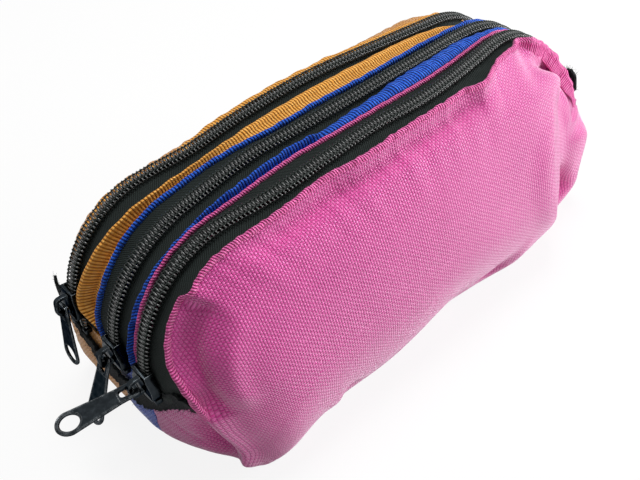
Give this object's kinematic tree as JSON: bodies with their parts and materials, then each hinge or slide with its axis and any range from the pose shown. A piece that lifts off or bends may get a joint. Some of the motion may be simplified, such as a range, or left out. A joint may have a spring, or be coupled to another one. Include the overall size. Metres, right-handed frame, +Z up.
{
  "type": "pencil case",
  "caption": "Soft arched pencil case with three side-by-side zipped compartments in pink, blue and orange fabric, black coil zips, sliders with pull tabs and webbing ends.",
  "frame": {"origin": "on the floor, in the middle of the length, on the flat underside of the middle compartment", "axes": "+X along the length towards the closed far end, -Y towards the front pink compartment, +Z up"},
  "size_m": [0.2481, 0.0995, 0.093],
  "materials": {
    "pink_fabric": "plain weave",
    "blue_fabric": "plain weave",
    "orange_fabric": "plain weave",
    "zip_tape": "twill tape",
    "coil_nylon": "satin",
    "black_paint": "gloss",
    "webbing": "coarse webbing"
  },
  "bodies": {
    "case": {"front_panel": "pink_fabric", "front_gusset": "pink_fabric", "front_rear_wall": "pink_fabric", "middle_front_wall": "blue_fabric", "middle_gusset": "blue_fabric", "middle_rear_wall": "blue_fabric", "back_front_wall": "orange_fabric", "back_gusset": "orange_fabric", "back_panel": "orange_fabric", "front_zip_tape_outer": "zip_tape", "front_coil_row_outer": "coil_nylon", "front_top_stop_outer": "black_paint", "front_zip_tape_inner": "zip_tape", "front_coil_row_inner": "coil_nylon", "front_top_stop_inner": "black_paint", "front_bottom_stop": "black_paint", "middle_zip_tape_outer": "zip_tape", "middle_coil_row_outer": "coil_nylon", "middle_top_stop_outer": "black_paint", "middle_zip_tape_inner": "zip_tape", "middle_coil_row_inner": "coil_nylon", "middle_top_stop_inner": "black_paint", "middle_bottom_stop": "black_paint", "back_zip_tape_outer": "zip_tape", "back_coil_row_outer": "coil_nylon", "back_top_stop_outer": "black_paint", "back_zip_tape_inner": "zip_tape", "back_coil_row_inner": "coil_nylon", "back_top_stop_inner": "black_paint", "back_bottom_stop": "black_paint", "near_end_band": "webbing", "far_end_band": "webbing"},
    "front_slider": {"front_slider": "black_paint"},
    "front_pull": {"front_pull": "black_paint"},
    "middle_slider": {"middle_slider": "black_paint"},
    "middle_pull": {"middle_pull": "black_paint"},
    "back_slider": {"back_slider": "black_paint"},
    "back_pull": {"back_pull": "black_paint"}
  },
  "joints": [
    {"name": "front_slider_travel", "type": "hinge", "parent": "case", "child": "front_slider", "pos_m": [-0.0648, -0.019, 0.048], "axis": [0, 1, 0], "range_deg": [0, 85], "deforming": ["front_coil_row_outer", "front_coil_row_inner"]},
    {"name": "front_pull_swing", "type": "hinge", "parent": "front_slider", "child": "front_pull", "pos_m": [-0.11085, -0.019, 0.048], "axis": [0.1736, 0.9848, 0], "range_deg": [-88, 82]},
    {"name": "middle_slider_travel", "type": "hinge", "parent": "case", "child": "middle_slider", "pos_m": [-0.0663, -0.0011, 0.048], "axis": [0, 1, 0], "range_deg": [0, 85], "deforming": ["middle_coil_row_outer", "middle_coil_row_inner"]},
    {"name": "middle_pull_swing", "type": "hinge", "parent": "middle_slider", "child": "middle_pull", "pos_m": [-0.11085, -0.0011, 0.048], "axis": [0, 1, 0], "range_deg": [-25, 145]},
    {"name": "back_slider_travel", "type": "hinge", "parent": "case", "child": "back_slider", "pos_m": [-0.0688, 0.024, 0.048], "axis": [0, 1, 0], "range_deg": [-8, 77], "deforming": ["back_coil_row_outer", "back_coil_row_inner"]},
    {"name": "back_pull_swing", "type": "hinge", "parent": "back_slider", "child": "back_pull", "pos_m": [-0.11044, 0.024, 0.05385], "axis": [0, 1, 0], "range_deg": [0, 170]}
  ]
}
